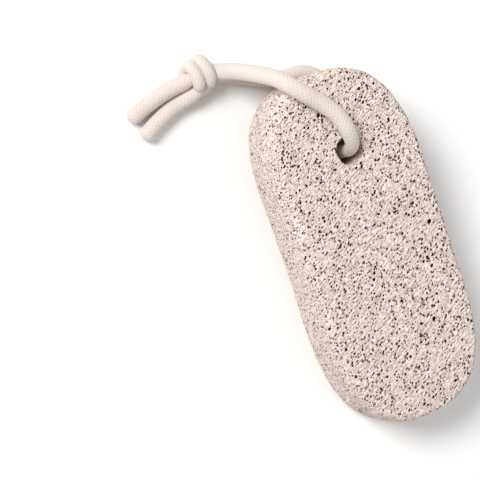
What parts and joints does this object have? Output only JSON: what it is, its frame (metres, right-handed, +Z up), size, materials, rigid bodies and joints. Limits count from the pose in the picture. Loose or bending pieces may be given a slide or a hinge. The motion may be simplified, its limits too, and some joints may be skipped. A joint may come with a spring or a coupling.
{
  "type": "pumice stone",
  "caption": "Porous foot stone: a rounded slab full of open gas bubbles, lying down, with a soft hanging cord looped through a hole near its head and tied in a knot.",
  "frame": {"origin": "on the floor, under the middle of the stone's bounding box", "axes": "+X across the stone, +Y towards the head with the hole, +Z up; the stone lies on its back, its head raised 3.5 degrees by the cord under it"},
  "size_m": [0.0709, 0.1138, 0.0296],
  "materials": {
    "pumice": "dry, rough, full of open bubbles",
    "cotton_cord": "soft knitted cotton, matt"
  },
  "bodies": {
    "root": {"stone": "pumice", "cord": "cotton_cord", "knot": "cotton_cord", "tail_upper": "cotton_cord", "tail_lower": "cotton_cord"}
  },
  "joints": []
}
